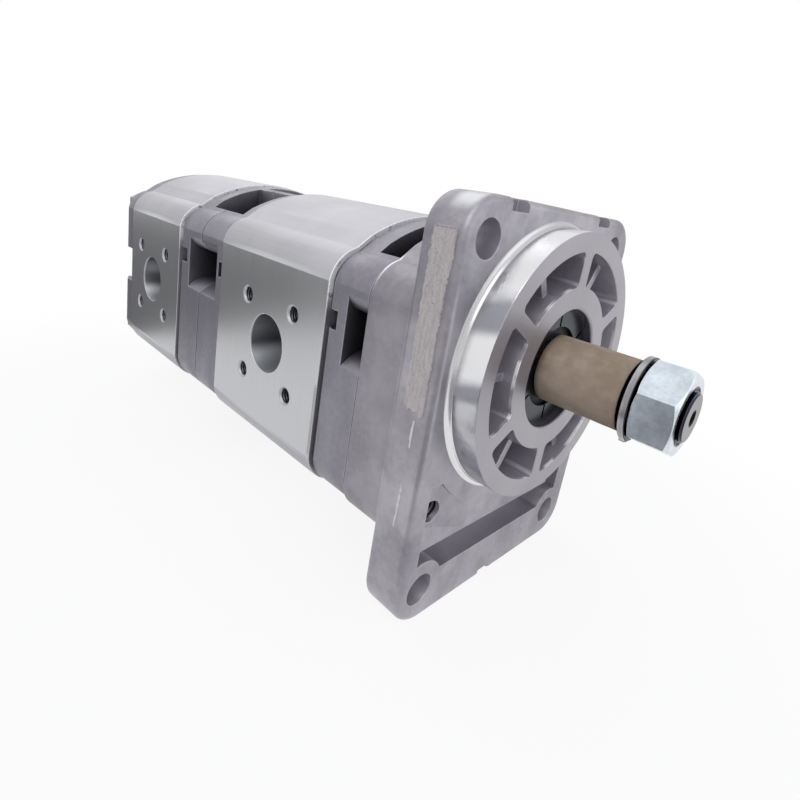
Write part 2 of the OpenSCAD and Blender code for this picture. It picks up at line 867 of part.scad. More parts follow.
// Hexagon nut with its outer corners chamfered
module shaft_nut() color([0.8, 0.83, 0.87]) {
    corner_r = nut_af / cos(30) / 2;
    face_r = nut_af / 2 - nut_face_inset;
    difference() {
        intersection() {
            along_y(nut_front, washer_front) rotate(nut_turn + 30) circle(corner_r, $fn = 6);
            union() {
                cone_y(nut_front, nut_front + nut_chamfer, face_r, corner_r);
                rod(nut_front + nut_chamfer, washer_front - nut_chamfer, corner_r);
                cone_y(washer_front - nut_chamfer, washer_front, corner_r, face_r);
            }
        }
        rod(nut_front - over, washer_front + over, thread_r);
        cone_y(nut_front, nut_front + nut_mouth, thread_r + nut_mouth, thread_r);
    }
}

// Coupling disc with a tang on each face, the two at right angles
module coupling(y0) {
    y1 = y0 + disc_t;
    intersection() {
        union() {
            rod(y0, y1, disc_r);
            translate([-tang_w / 2, y0 - tang_l, -journal_r]) cube([tang_w, tang_l + over, 2 * journal_r]);
            translate([-journal_r, y1 - over, -tang_w / 2]) {
                cube([2 * journal_r, tang_l + over, tang_w]);
            }
        }
        union() {
            rod(y0 - tang_l, y1 + tang_l, journal_r);
            rod(y0, y1, disc_r);
        }
    }
}

module front_coupling() color(STEEL) coupling(front_disc_y);

module centre_coupling() color(STEEL) coupling(centre_disc_y);

module lip_seal(y0) {
    difference() {
        rod(y0, y0 + lip_seal_w, coupling_bore_r);
        rod(y0 - over, y0 + lip_seal_w + over, journal_r + run_gap);
    }
}

module section_seal() color(DARK) lip_seal(front_cover_back - seal_shelf - lip_seal_w);

module centre_seal() color(DARK) lip_seal(front_casing_back + seal_shelf);

// Bearing block in the shape of the gear chamber, with its bush bores and seal groove
module bearing_block(y0, groove_y) {
    difference() {
        along_y(y0, y0 + block_t) gear_eight(tip_r);
        for (z = [0, -gear_centres]) rod(y0 - over, y0 + block_t + over, bush_r, z);
        along_y(groove_y, groove_y + seal_groove) axial_seal_profile();
    }
}

module axial_seal_profile() {
    difference() {
        gear_eight(tip_r - seal_inset);
        gear_eight(tip_r - seal_inset - seal_w);
    }
}

front_aft_y = front_cover_back + block_t + front_gear_w;
rear_aft_y = centre_back + block_t + rear_gear_w;
groove_ys = [
    front_cover_back, front_casing_back - seal_groove,
    centre_back, rear_casing_back - seal_groove
];

module front_block_fore() color(ALU) bearing_block(front_cover_back, groove_ys[0]);

module front_block_aft() color(ALU) bearing_block(front_aft_y, groove_ys[1]);

module rear_block_fore() color(ALU) bearing_block(centre_back, groove_ys[2]);

module rear_block_aft() color(ALU) bearing_block(rear_aft_y, groove_ys[3]);

module bushes(blocks) {
    for (y = blocks, z = [0, -gear_centres]) difference() {
        rod(y, y + block_t, bush_r, z);
        rod(y - over, y + block_t + over, journal_r + run_gap, z);
    }
}

module front_bushes() color([0.6, 0.45, 0.3]) bushes([front_cover_back, front_aft_y]);

module rear_bushes() color([0.6, 0.45, 0.3]) bushes([centre_back, rear_aft_y]);

module axial_seals() color(DARK) {
    for (y = groove_ys) along_y(y, y + seal_groove) axial_seal_profile();
}

module casing_seals() color(DARK) {
    seal_groove_cut(front_cover_back - 2 * cord_r, front_cover_back);
    seal_groove_cut(front_casing_back, front_casing_back + 2 * cord_r);
    seal_groove_cut(centre_back - 2 * cord_r, centre_back);
    seal_groove_cut(rear_casing_back, rear_casing_back + 2 * cord_r);
}

// Involute gear outline
function involute(a) = tan(a) * 180 / PI - a;
half_tooth = 90 / gear_teeth - tooth_play / 2 / pitch_r * 180 / PI / 2;
function flank_angle(r) = half_tooth + involute(pressure_angle) - involute(acos(base_r / r));
flank_rs = [for (i = [0 : flank_steps]) base_r + (tip_r - base_r) * i / flank_steps];
function polar(r, a) = [r * cos(a), r * sin(a)];
function tooth_points(a) = concat(
    [polar(root_r, a - 180 / gear_teeth), polar(root_r, a - flank_angle(base_r) - root_turn)],
    [for (i = [0 : flank_steps]) polar(flank_rs[i], a - flank_angle(flank_rs[i]))],
    [for (i = [flank_steps : -1 : 0]) polar(flank_rs[i], a + flank_angle(flank_rs[i]))],
    [polar(root_r, a + flank_angle(base_r) + root_turn)]
);

module gear_profile(turn) {
    polygon([for (i = [0 : gear_teeth - 1]) each tooth_points(turn + i * 360 / gear_teeth)]);
}

// Gear with a journal on each side, on the axis at z
module gear(y0, width, z, turn, journal_y0, journal_y1) {
    translate([0, 0, z]) along_y(y0 + end_play, y0 + width - end_play) gear_profile(turn);
    rod(journal_y0, journal_y1, journal_r, z);
}

// Slot across a journal for a coupling tang, from y0 to y1
module tang_slot(y0, y1, turned) {
    w = tang_w + 2 * tang_gap;
    if (turned) translate([-disc_r, y0, -w / 2]) cube([2 * disc_r, y1 - y0, w]);
    else translate([-w / 2, y0, -disc_r]) cube([w, y1 - y0, 2 * disc_r]);
}

module front_drive_gear() color(STEEL) {
    front = front_disc_y + disc_t + tang_gap;
    back = centre_disc_y - tang_gap;
    difference() {
        gear(front_cover_back + block_t, front_gear_w, 0, -90, front, back);
        tang_slot(front - over, front + tang_l, true);
        tang_slot(back - tang_l, back + over, false);
    }
}

module front_driven_gear() color(STEEL) {
    gear(front_cover_back + block_t, front_gear_w, -gear_centres, 90 + 180 / gear_teeth,
        front_cover_back + journal_end_gap, front_casing_back - journal_end_gap);
}

module rear_drive_gear() color(STEEL) {
    front = centre_disc_y + disc_t + tang_gap;
    difference() {
        gear(centre_back + block_t, rear_gear_w, 0, -90, front, rear_casing_back - journal_end_gap);
        tang_slot(front - over, front + tang_l, true);
    }
}

module rear_driven_gear() color(STEEL) {
    gear(centre_back + block_t, rear_gear_w, -gear_centres, 90 + 180 / gear_teeth,
        centre_back + journal_end_gap, rear_casing_back - journal_end_gap);
}

module through_bolts() color(STEEL) {
    at_ties() {
        translate([0, tie_seat_y + tie_tip_gap, 0]) rotate([-90, 0, 0]) {
            cylinder(h = end_seat_y - tie_seat_y - tie_tip_gap, r = tie_r);
        }
        translate([0, end_seat_y, 0]) rotate([-90, 30, 0]) {
            cylinder(h = tie_head_h, d = tie_head_af / cos(30), $fn = 6);
        }
    }
}

module dowel_pins() color(STEEL) {
    for (y = [front_cover_back, front_casing_back, centre_seam, centre_back, rear_casing_back]) {
        for (s = [-1, 1]) translate([s * dowel_x, 0, mid_z]) rotate([-90, 0, 0]) {
            translate([0, 0, y - dowel_l / 2 + dowel_end_gap]) {
                cylinder(h = dowel_l - 2 * dowel_end_gap, r = dowel_r);
            }
        }
    }
}

mounting_flange();
front_cover();
front_casing();
centre_cover_front();
centre_cover_rear();
rear_casing();
end_cover();
shaft_seal();
seal_retainer();
bearing_outer_race();
bearing_inner_race();
bearing_balls();
bearing_cage();
bearing_circlip();
drive_shaft();
shaft_key();
cardboard_sleeve();
spring_washer();
shaft_nut();
front_coupling();
centre_coupling();
section_seal();
centre_seal();
front_block_fore();
front_block_aft();
rear_block_fore();
rear_block_aft();
front_bushes();
rear_bushes();
axial_seals();
casing_seals();
front_drive_gear();
front_driven_gear();
rear_drive_gear();
rear_driven_gear();
through_bolts();
dowel_pins();
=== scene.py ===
import math

import bmesh
import bpy
from mathutils import Matrix, Quaternion, Vector, noise


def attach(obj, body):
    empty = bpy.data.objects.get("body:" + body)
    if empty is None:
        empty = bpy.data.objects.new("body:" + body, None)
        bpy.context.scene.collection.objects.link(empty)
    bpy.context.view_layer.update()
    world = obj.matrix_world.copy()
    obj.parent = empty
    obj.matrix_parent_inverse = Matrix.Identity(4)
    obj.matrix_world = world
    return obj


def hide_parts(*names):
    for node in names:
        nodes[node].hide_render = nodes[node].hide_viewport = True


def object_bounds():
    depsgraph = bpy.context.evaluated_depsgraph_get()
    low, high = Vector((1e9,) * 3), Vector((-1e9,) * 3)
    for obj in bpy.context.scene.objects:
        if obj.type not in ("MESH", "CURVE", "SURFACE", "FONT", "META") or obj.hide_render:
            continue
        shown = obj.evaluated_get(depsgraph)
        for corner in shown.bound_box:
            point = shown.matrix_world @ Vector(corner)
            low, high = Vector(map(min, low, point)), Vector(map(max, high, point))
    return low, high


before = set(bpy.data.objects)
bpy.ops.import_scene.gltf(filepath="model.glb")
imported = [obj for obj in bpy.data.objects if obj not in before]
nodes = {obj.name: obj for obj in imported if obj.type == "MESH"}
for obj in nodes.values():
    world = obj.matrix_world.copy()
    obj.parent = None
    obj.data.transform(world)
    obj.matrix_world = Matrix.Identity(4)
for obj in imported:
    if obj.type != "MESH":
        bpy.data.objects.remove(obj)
cad_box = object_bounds()
MM = 0.001

# Sizes and places repeated from the CAD source, in mm
PLATE_LEFT = -45.0
PLATE_BACK = 13.5
PLATE_CORNER = 34.0
FLANGE_BACK = 29.5
FRONT_CASING_FRONT = 46.5
REAR_CASING_FRONT = 151.0
PILOT_R = 40.0
PILOT_H = 9.0
SEAL_BORE_R = 18.0
PORT_X = 44.5
PORT_Z = -15.0
FRONT_PORT_Y = 77.5
REAR_PORT_Y = 180.0
TAP_R = 2.5
SUCTION_PCD = 40.0
PRESSURE_PCD = 35.0
SIDE_HOLE = (-35.4, 2.4, -41.0)
SIDE_HOLE_R = 3.4
SLEEVE_IN = 9.28
SLEEVE_OUT = 10.1
SLEEVE_FRONT = -30.1
SLEEVE_BACK = -6.05
WASHER_IN = 7.2
WASHER_OUT = 11.8
WASHER_MID = -32.12
THREAD_R = 7.0
THREAD_START = -26.0
SHAFT_END = -43.6
NUT_FRONT = -44.0

# Turn of the tapped holes round a port, in degrees, as in the CAD source
PORT_TURN = 45.0

# Sizes and places that only the looks use, in mm
PORT_SHADE_R = 11.0
TAP_OFFSET = 13.3
CENTRE_R = 2.3
WINDING = 34.0
SCAR_SPLIT = -12.5
SCAR_ROUND = 31.0

# Where the spring washer is split, in degrees from the right over the top
WASHER_SPLIT = 248.0

# Radians per metre: lean of the pilot wall's streaks, chatter marks, thread lines in the nut's mouth
STREAK_LEAN = 6.0
CHATTER_WAVES = 7400.0
MOUTH_WAVES = 12000.0


def camera():
    """A camera at the photograph's viewing angle. Its place is in metres."""
    cam = bpy.data.cameras.new("camera")
    obj = bpy.data.objects.new("camera", cam)
    bpy.context.scene.collection.objects.link(obj)
    turn = Quaternion((0.748457, 0.5328797, -0.2943512, -0.2630756))
    obj.matrix_world = Matrix.Translation((-0.1375092, -0.0713608, 0.0402258)) @ turn.to_matrix().to_4x4()
    cam.lens = 23.0278
    cam.sensor_width = 36
    cam.shift_x = -0.01299
    cam.shift_y = -0.07579
    cam.clip_start = 0.01
    cam.clip_end = 50
    bpy.context.scene.camera = obj


def lamp(name, at, aim, power, color=(1, 1, 1)):
    """A soft round lamp, 1 m across, turned towards aim."""
    light = bpy.data.lights.new(name, "AREA")
    light.shape = "DISK"
    light.size = 1.0
    light.energy = power
    light.color = color
    obj = bpy.data.objects.new(name, light)
    bpy.context.scene.collection.objects.link(obj)
    obj.location = at
    obj.rotation_euler = (Vector(aim) - Vector(at)).to_track_quat("-Z", "Y").to_euler()


class Graph:
    """A material's node tree with one principled shader, and short ways to add to it.

    Positions come from the sockets in metres. past, before, between, edge, rounded, crevice
    and bump take their sizes in mm."""

    def __init__(self, name):
        self.mat = bpy.data.materials.new(name)
        self.mat.use_nodes = True
        self.tree = self.mat.node_tree
        self.tree.nodes.clear()
        self.out = self.tree.nodes.new("ShaderNodeOutputMaterial")
        self.bsdf = self.tree.nodes.new("ShaderNodeBsdfPrincipled")
        self.tree.links.new(self.bsdf.outputs[0], self.out.inputs[0])
        coord = self.tree.nodes.new("ShaderNodeTexCoord")
        self.pos = coord.outputs["Object"]
        split = self.node("ShaderNodeSeparateXYZ", {0: self.pos})
        self.x, self.y, self.z = split.outputs
        facing = self.node("ShaderNodeSeparateXYZ", {0: coord.outputs["Normal"]})
        self.nx, self.ny, self.nz = facing.outputs

    def put(self, socket, value):
        if isinstance(value, bpy.types.NodeSocket):
            self.tree.links.new(value, socket)
        else:
            socket.default_value = value

    def node(self, kind, inputs=None, **props):
        n = self.tree.nodes.new(kind)
        for k, v in props.items():
            setattr(n, k, v)
        for k, v in (inputs or {}).items():
            self.put(n.inputs[k], v)
        return n

    def set(self, **values):
        for k, v in values.items():
            self.put(self.bsdf.inputs[k.replace("_", " ")], v)

    def math(self, op, a, b=0.0, clamp=False):
        return self.node("ShaderNodeMath", {0: a, 1: b}, operation=op, use_clamp=clamp).outputs[0]

    def minus(self, value):
        return self.math("MULTIPLY", value, -1.0)

    def abs(self, value):
        return self.math("ABSOLUTE", value)

    def length(self, a, b):
        return self.math("SQRT", self.math("ADD", self.math("MULTIPLY", a, a), self.math("MULTIPLY", b, b)))

    def radius(self):
        """Distance from the shaft axis."""
        return self.length(self.x, self.z)

    def step(self, value, lo, hi):
        """0 below lo and 1 above hi, smooth between them."""
        n = self.node("ShaderNodeMapRange", {0: value, 1: lo, 2: hi}, interpolation_type="SMOOTHSTEP")
        return n.outputs[0]

    def band(self, value, lo, hi, soft):
        """1 between lo and hi, 0 outside them."""
        rise = self.step(value, lo - soft, lo + soft)
        fall = self.step(value, hi - soft, hi + soft)
        return self.math("SUBTRACT", rise, fall, True)

    def past(self, value, place, soft):
        """0 before a place and 1 past it, smooth over soft to each side."""
        return self.step(value, (place - soft) * MM, (place + soft) * MM)

    def before(self, value, place, soft):
        return self.flip(self.past(value, place, soft))

    def between(self, value, lo, hi, soft):
        return self.band(value, lo * MM, hi * MM, soft * MM)

    def flip(self, mask):
        return self.math("SUBTRACT", 1.0, mask)

    def both(self, *masks):
        out = masks[0]
        for m in masks[1:]:
            out = self.math("MULTIPLY", out, m)
        return out

    def lerp(self, fac, a, b):
        n = self.node("ShaderNodeMix", {0: fac, 2: a, 3: b})
        return n.outputs[0]

    def mix(self, fac, a, b):
        n = self.node("ShaderNodeMix", {0: fac}, data_type="RGBA")
        self.put(n.inputs[6], a if isinstance(a, bpy.types.NodeSocket) else (*a, 1))
        self.put(n.inputs[7], b if isinstance(b, bpy.types.NodeSocket) else (*b, 1))
        return n.outputs[2]

    def tint(self, mask, color, amount=1.0):
        """Lays a colour over the one so far, where the mask is 1."""
        if amount != 1.0:
            mask = self.math("MULTIPLY", mask, amount)
        self.color = self.mix(mask, self.color, color)

    def noise(self, scale, detail=2.0, stretch=(1, 1, 1), rough=0.5):
        at = self.pos
        if stretch != (1, 1, 1):
            at = self.node("ShaderNodeMapping", {0: self.pos, 3: stretch}).outputs[0]
        inputs = {"Vector": at, "Scale": scale, "Detail": detail, "Roughness": rough}
        return self.node("ShaderNodeTexNoise", inputs).outputs[0]

    def line_noise(self, value, scale, detail):
        inputs = {"W": value, "Scale": scale, "Detail": detail, "Roughness": 0.5}
        return self.node("ShaderNodeTexNoise", inputs, noise_dimensions="1D").outputs[0]

    def rounded(self, radius):
        """The surface's own direction, turned smoothly over edges within that radius."""
        return self.node("ShaderNodeBevel", {0: radius * MM}, samples=6).outputs[0]

    def edge(self, radius):
        """1 on edges sharper than the given radius, 0 on flat metal."""
        true = self.node("ShaderNodeNewGeometry").outputs["Normal"]
        dot = self.node("ShaderNodeVectorMath", {0: self.rounded(radius), 1: true}, operation="DOT_PRODUCT")
        return self.flip(self.step(dot.outputs["Value"], 0.75, 0.995))

    def crevice(self, distance, lo=0.2, hi=0.8):
        """1 in narrow gaps and deep corners, 0 on open faces."""
        ao = self.node("ShaderNodeAmbientOcclusion", {"Distance": distance * MM}, samples=8).outputs["AO"]
        return self.flip(self.step(ao, lo, hi))

    def bump(self, height, strength, depth, under=None):
        n = self.node("ShaderNodeBump", {"Height": height, "Strength": strength, "Distance": depth * MM})
        if under is not None:
            self.put(n.inputs["Normal"], under)
        return n.outputs[0]


def finish(g, metallic):
    """Joins what the graph worked out to the shader."""
    g.set(Base_Color=g.color, Metallic=metallic, Roughness=g.rough, Normal=g.relief)
    return g.mat


def cast_aluminium(name, dark, light, wear, crevice_shade, deep=0.0, lift=0.0):
    """Pressure-cast skin: soft flow marks, fine grain, bright worn edges and painted shade in the corners.

    deep is painted shade that darkens the pockets; lift is painted light that makes them paler."""
    g = Graph(name)
    g.blotch = g.noise(24, 3)
    flow = g.noise(1.0, 3, stretch=(70, 70, 26), rough=0.55)
    fine = g.noise(520, 3, rough=0.65)
    tone = g.lerp(0.22, g.lerp(0.5, g.blotch, flow), fine)
    patch = g.step(tone, 0.34, 0.66)
    g.color = g.mix(patch, dark, light)
    edges = g.math("MULTIPLY", g.edge(0.9), wear)
    g.tint(edges, (0.86, 0.86, 0.89))
    # painted shade darkening the deep pockets
    if deep:
        g.tint(g.crevice(26, 0.10, 0.74), (0.008, 0.008, 0.012), deep)
    # painted light making the pockets paler
    if lift:
        g.tint(g.crevice(20, 0.1, 0.85), (0.74, 0.70, 0.78), lift)
    # painted shade in narrow gaps and corners
    g.tint(g.crevice(2.2), (0.018, 0.018, 0.024), crevice_shade)
    g.rough = g.lerp(edges, g.lerp(patch, 0.50, 0.40), 0.26)
    pits = g.noise(1500, 2, rough=0.7)
    dents = g.noise(130, 3)
    g.relief = g.bump(pits, 0.22, 0.12, g.bump(dents, 0.3, 0.5, g.rounded(0.4)))
    return g


def flange_metal():
    """The flange casting: cast skin, turned ring faces and a mirror-turned pilot wall."""
    g = cast_aluminium("flange_cast", (0.262, 0.248, 0.282), (0.415, 0.40, 0.435), 0.22, 0.2, lift=0.36)
    r = g.radius()
    out = g.minus(g.ny)
    proud = g.minus(g.y)
    facing = g.step(out, 0.8, 0.95)
    front = g.both(facing, g.past(proud, PILOT_H - 0.25, 0.15))
    cast = g.flip(front)
    g.tint(front, g.mix(g.step(g.blotch, 0.3, 0.7), (0.35, 0.336, 0.362), (0.43, 0.415, 0.445)))
    g.rough = g.lerp(front, g.rough, 0.36)
    cloud = g.step(g.noise(42, 4, rough=0.6), 0.50, 0.66)
    g.tint(g.both(cloud, cast), (0.53, 0.51, 0.545), 0.5)
    dusk = g.step(g.noise(58, 3), 0.52, 0.68)
    g.tint(g.both(dusk, cast), (0.235, 0.215, 0.245), 0.4)
    g.tint(g.past(g.y, PLATE_BACK, 0.3), (0.20, 0.19, 0.21), 0.38)
    # a painted highlight on the block's rear edge at the upper corners, where it meets the cover
    block_edge_highlight = g.both(g.past(g.y, FLANGE_BACK - 1.6, 0.3), g.between(g.z, 19, 31, 4),
                    g.past(g.abs(g.x), 34.5, 1.5))
    g.tint(block_edge_highlight, (0.97, 0.97, 0.98), 0.9)
    # lighter patches round the foot of the pilot: handling marks and painted light
    worn = g.both(facing, g.before(proud, 0.4, 0.2), g.before(r, PILOT_R + 9.5, 6.5),
                  g.step(g.noise(60, 3), 0.40, 0.62))
    g.tint(worn, (0.58, 0.56, 0.60), 0.45)
    pilot_wall(g, r, proud, cast)
    # a painted highlight on the rounded upper left corner, its ends made ragged by the blotches
    cx = g.math("ADD", g.x, PLATE_CORNER * MM)
    cz = g.math("SUBTRACT", g.z, PLATE_CORNER * MM)
    ragged = g.math("MULTIPLY", g.math("SUBTRACT", g.blotch, 0.5), 0.5)
    turn = g.math("ADD", g.math("ARCTAN2", cz, cx), ragged)
    corner_highlight = g.both(g.band(turn, 1.78, 2.40, 0.22), g.between(g.y, 1.4, 8.0, 1.6),
                 g.past(g.math("SUBTRACT", g.z, g.x), 2 * PLATE_CORNER + 3.5, 3.5),
                 g.flip(g.step(out, 0.3, 0.6)))
    g.tint(corner_highlight, (0.70, 0.71, 0.72), 0.6)
    # a painted highlight: window walls that face up and left carry a bright broken line under the front edge
    lit = g.both(g.step(g.math("SUBTRACT", g.nz, g.nx), 0.5, 1.0), g.flip(g.step(out, 0.2, 0.6)),
                 g.before(r, PILOT_R - 1.25, 0.25), g.past(r, SEAL_BORE_R + 1.4, 0.2),
                 g.between(proud, PILOT_H - 1, PILOT_H + 0.3, 0.1), g.step(g.noise(95, 2), 0.48, 0.56))
    g.tint(lit, (0.96, 0.96, 0.97))
    # the seal bore is ground smooth, and painted dark as shade and dark reflections in it
    bore = g.both(g.before(r, SEAL_BORE_R + 0.25, 0.15), cast)
    g.tint(bore, (0.10, 0.10, 0.12))
    g.rough = g.lerp(bore, g.rough, 0.16)
    return finish(g, 0.72)


def pilot_wall(g, r, proud, cast):
    """Turned wall: broad bright and dark streaks along it, painted as reflections.

    turn is the angle round the axis in radians, from the left side towards the top."""
    wall = g.both(g.past(r, PILOT_R - 0.3, 0.1), g.past(proud, 0.2, 0.1),
                  g.before(r, PILOT_R + 0.3, 0.1), cast)
    turn = g.math("ADD", g.math("ARCTAN2", g.z, g.minus(g.x)), g.math("MULTIPLY", g.y, STREAK_LEAN))
    # painted reflections: bright and dark bands by angle round the wall
    bright = g.math("ADD", g.band(turn, 0.56, 1.30, 0.10), g.band(turn, 0.00, 0.27, 0.06), True)
    dull = g.math("ADD", g.band(turn, 0.32, 0.50, 0.06), g.band(turn, -0.14, -0.05, 0.04), True)
    small = g.noise(1.0, 2, stretch=(130, 12, 130))
    broad = g.math("MULTIPLY", g.math("SUBTRACT", bright, dull), 0.38)
    streak = g.step(g.math("ADD", broad, g.lerp(0.55, 0.5, small), True), 0.15, 0.85)
    g.tint(wall, g.mix(streak, (0.29, 0.29, 0.33), (0.80, 0.80, 0.81)))
    # painted shade on the wall near its foot
    near = g.both(wall, g.before(proud, 2.6, 1.0))
    g.tint(near, (0.27, 0.245, 0.27), 0.5)
    g.rough = g.lerp(wall, g.rough, g.lerp(small, 0.14, 0.24))
    turned = g.line_noise(g.y, 5200.0, 1.0)
    g.relief = g.bump(g.math("MULTIPLY", turned, wall), 0.12, 0.04, g.relief)


def foot_metal():
    """Turned root of the pilot: painted reflections make it bright below the middle and darker above it."""
    g = Graph("pilot_root_turned")
    marks = g.noise(1.0, 2, stretch=(40, 900, 40))
    streaks = g.lerp(0.4, g.lerp(0.5, marks, g.noise(38, 2)), 0.95)
    # painted reflections: brighter below the middle, darker above it
    tone = g.math("ADD", g.math("MULTIPLY", g.past(g.z, 0, 12), -0.3), streaks, True)
    g.color = g.mix(g.step(tone, 0.1, 0.75), (0.40, 0.395, 0.42), (0.84, 0.84, 0.85))
    g.rough = g.lerp(marks, 0.2, 0.32)
    g.relief = g.bump(marks, 0.15, 0.05)
    return finish(g, 0.9)


def covers_metal():
    """The cast covers: darker skin than the flange, with painted shade in their pockets and gaps."""
    g = cast_aluminium("cover_cast", (0.215, 0.205, 0.238), (0.30, 0.288, 0.325), 0.45, 0.55, deep=0.92)
    return finish(g, 0.75)


def tap_mask(g, port_y):
    """1 round the four tapped holes of the ports at port_y. One ring serves both sides' patterns."""
    u = g.math("SUBTRACT", g.abs(g.math("SUBTRACT", g.y, port_y * MM)), TAP_OFFSET * MM)
    v = g.math("SUBTRACT", g.abs(g.math("SUBTRACT", g.z, PORT_Z * MM)), TAP_OFFSET * MM)
    return g.before(g.length(u, v), TAP_R + 2.2, 0.1)


def casing_metal():
    """Extruded casing: satin skin drawn along the shaft, finely milled port faces with a chattered edge."""
    g = Graph("casing_extruded")
    along = g.noise(1.0, 3, stretch=(2600, 14, 2600), rough=0.6)
    broad = g.noise(1.0, 2, stretch=(60, 6, 60))
    tone = g.lerp(0.7, along, g.lerp(0.5, broad, g.noise(48, 3)))
    g.color = g.mix(g.step(tone, 0.3, 0.7), (0.405, 0.40, 0.43), (0.505, 0.50, 0.53))
    side = g.abs(g.x)
    face = g.both(g.step(g.abs(g.nx), 0.95, 0.99), g.past(side, PORT_X - 0.5, 0.2))
    milled = g.noise(1.0, 2, stretch=(1, 2600, 25), rough=0.6)
    swirl = g.noise(22, 2)
    marks = g.step(g.lerp(0.5, milled, swirl), 0.34, 0.66)
    plate = g.mix(marks, (0.525, 0.53, 0.545), (0.575, 0.58, 0.595))
    # painted light: the port faces grow paler towards their top
    plate = g.mix(g.math("MULTIPLY", g.past(g.z, 13, 11), 0.75), plate, (0.70, 0.705, 0.72))
    g.tint(face, plate)
    # the bored walls of the ports: painted shade above, a painted highlight at the bottom
    inside = g.both(g.flip(face), g.before(side, PORT_X - 0.6, 0.2),
                    g.between(g.z, PORT_Z - PORT_SHADE_R, PORT_Z + PORT_SHADE_R, 0.3),
                    g.flip(g.step(g.abs(g.ny), 0.98, 0.995)))
    height = g.math("ADD", g.z, g.math("MULTIPLY", swirl, 4 * MM))
    g.tint(inside, g.mix(g.before(height, PORT_Z - 3, 2.5), (0.17, 0.175, 0.185), (0.86, 0.88, 0.92)))
    # tapped holes: painted shade below the mouth
    taps = g.math("ADD", tap_mask(g, FRONT_PORT_Y), tap_mask(g, REAR_PORT_Y), True)
    hole = g.both(taps, g.flip(face), g.before(side, PORT_X - 0.7, 0.2))
    g.tint(hole, (0.06, 0.06, 0.07), 0.9)
    # painted highlight along the edges
    edges = g.edge(0.9)
    g.tint(edges, (0.95, 0.95, 0.97), 0.45)
    # raised burr left by the saw on the upper front edges, painted bright as a highlight
    rims = [g.between(g.y, y - 0.5, y + 0.4, 0.12) for y in (FRONT_CASING_FRONT, REAR_CASING_FRONT)]
    rim = g.math("MAXIMUM", g.math("ADD", rims[0], rims[1], True), g.step(g.minus(g.ny), 0.5, 0.8))
    burr = g.both(rim, g.past(g.z, 8, 4), g.step(g.noise(360, 3, rough=0.7), 0.34, 0.46))
    g.tint(burr, (0.98, 0.98, 0.99))
    # the cutter chattered along the lower front edge of the front port faces
    teeth = g.step(g.math("SINE", g.math("MULTIPLY", g.z, CHATTER_WAVES)), -0.2, 0.5)
    chatter = g.both(face, g.between(g.y, FRONT_CASING_FRONT + 0.1, FRONT_CASING_FRONT + 1.3, 0.2),
                     g.between(g.z, -43.0, -19.5, 1.0), teeth)
    g.tint(chatter, (0.05, 0.05, 0.06), 0.85)
    # painted shade in narrow gaps, kept off the burr
    g.tint(g.both(g.crevice(2), g.flip(burr)), (0.02, 0.02, 0.026), 0.3)
    rough = g.lerp(face, g.lerp(along, 0.44, 0.54), g.lerp(milled, 0.25, 0.34))
    g.rough = g.lerp(edges, g.lerp(inside, rough, 0.34), 0.25)
    lines = g.lerp(face, along, g.lerp(0.75, milled, 0.5))
    g.relief = g.bump(g.math("SUBTRACT", lines, chatter), 0.09, 0.06, g.rounded(0.4))
    return finish(g, g.lerp(burr, 0.9, 0.25))


def machined(name, color, rough):
    """Turned or ground metal: fine marks round the shaft axis, a little stain."""
    g = Graph(name)
    marks = g.noise(1.0, 2, stretch=(40, 700, 40))
    stain = g.noise(90, 3)
    shade = tuple(c * 0.85 for c in color)
    shine = tuple(min(1, c * 1.5 + 0.05) for c in color)
    g.color = g.mix(g.step(g.lerp(0.5, marks, stain), 0.35, 0.65), shade, color)
    g.tint(g.edge(0.4), shine, 0.5)
    # painted shade in narrow gaps
    g.tint(g.crevice(3), (0.012, 0.012, 0.016), 0.6)
    g.rough = g.lerp(stain, rough * 0.8, rough * 1.25)
    g.relief = g.bump(marks, 0.12, 0.05)
    return finish(g, 1.0)


def nut_metal():
    """Zinc-plated nut: cold pale blue with soft stains; its mouth, cut by the thread, is painted dark as
    shade in rings.
    """
    g = Graph("zinc_nut")
    stain = g.noise(140, 3, rough=0.6)
    fine = g.noise(900, 2)
    r = g.radius()
    g.color = g.mix(g.step(g.lerp(0.3, stain, fine), 0.34, 0.66), (0.55, 0.61, 0.67), (0.70, 0.77, 0.84))
    g.tint(g.edge(0.6), (0.92, 0.94, 0.98), 0.6)
    # painted shade in the mouth, in rings for the thread
    mouth = g.both(g.before(r, THREAD_R + 1.1, 0.2), g.before(g.y, NUT_FRONT + 1.4, 0.2))
    turns = g.step(g.math("SINE", g.math("MULTIPLY", r, MOUTH_WAVES)), -0.3, 0.3)
    g.tint(mouth, g.mix(turns, (0.012, 0.012, 0.022), (0.07, 0.07, 0.10)))
    # painted shade in narrow gaps
    g.tint(g.crevice(1.6), (0.01, 0.01, 0.014), 0.7)
    g.rough = g.lerp(stain, 0.17, 0.27)
    g.relief = g.bump(g.lerp(0.5, stain, fine), 0.16, 0.1)
    return finish(g, 1.0)


def washer_metal():
    """Spring steel: bright rolled rim, its flat faces painted black as shade."""
    g = Graph("spring_washer_steel")
    marks = g.noise(1.0, 2, stretch=(60, 900, 60))
    stain = g.noise(160, 3)
    g.color = g.mix(g.step(g.lerp(0.5, marks, stain), 0.35, 0.65), (0.27, 0.27, 0.28), (0.44, 0.44, 0.45))
    face_shade = g.mix(stain, (0.012, 0.013, 0.02), (0.035, 0.036, 0.05))
    # painted shade on the flat faces
    g.tint(g.step(g.abs(g.ny), 0.35, 0.75), face_shade)
    g.rough = g.lerp(stain, 0.2, 0.34)
    g.relief = g.bump(marks, 0.15, 0.06)
    return finish(g, 1.0)


